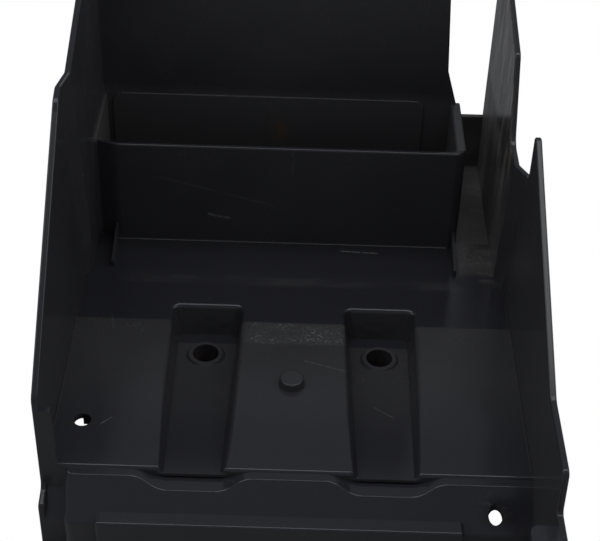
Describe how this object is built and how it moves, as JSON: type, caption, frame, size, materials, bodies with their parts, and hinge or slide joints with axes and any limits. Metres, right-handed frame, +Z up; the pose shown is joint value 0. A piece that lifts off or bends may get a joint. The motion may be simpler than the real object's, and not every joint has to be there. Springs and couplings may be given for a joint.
{
  "type": "motorcycle battery box",
  "caption": "Open-fronted moulded plastic battery box with a flat floor, tall side walls, a cross wall with a tool pocket behind it and a tall back panel.",
  "frame": {"origin": "midway between the two fixing holes, on the flat undersides of their bosses", "axes": "+X to the box's right when its open front is faced towards -Y, +Y from the open front to the rear, +Z up out of the fixing holes"},
  "size_m": [0.1952, 0.2826, 0.1837],
  "materials": {
    "black_plastic": "smooth moulded black polypropylene, scuffed by use"
  },
  "bodies": {
    "root": {"battery_box": "black_plastic"}
  },
  "joints": []
}
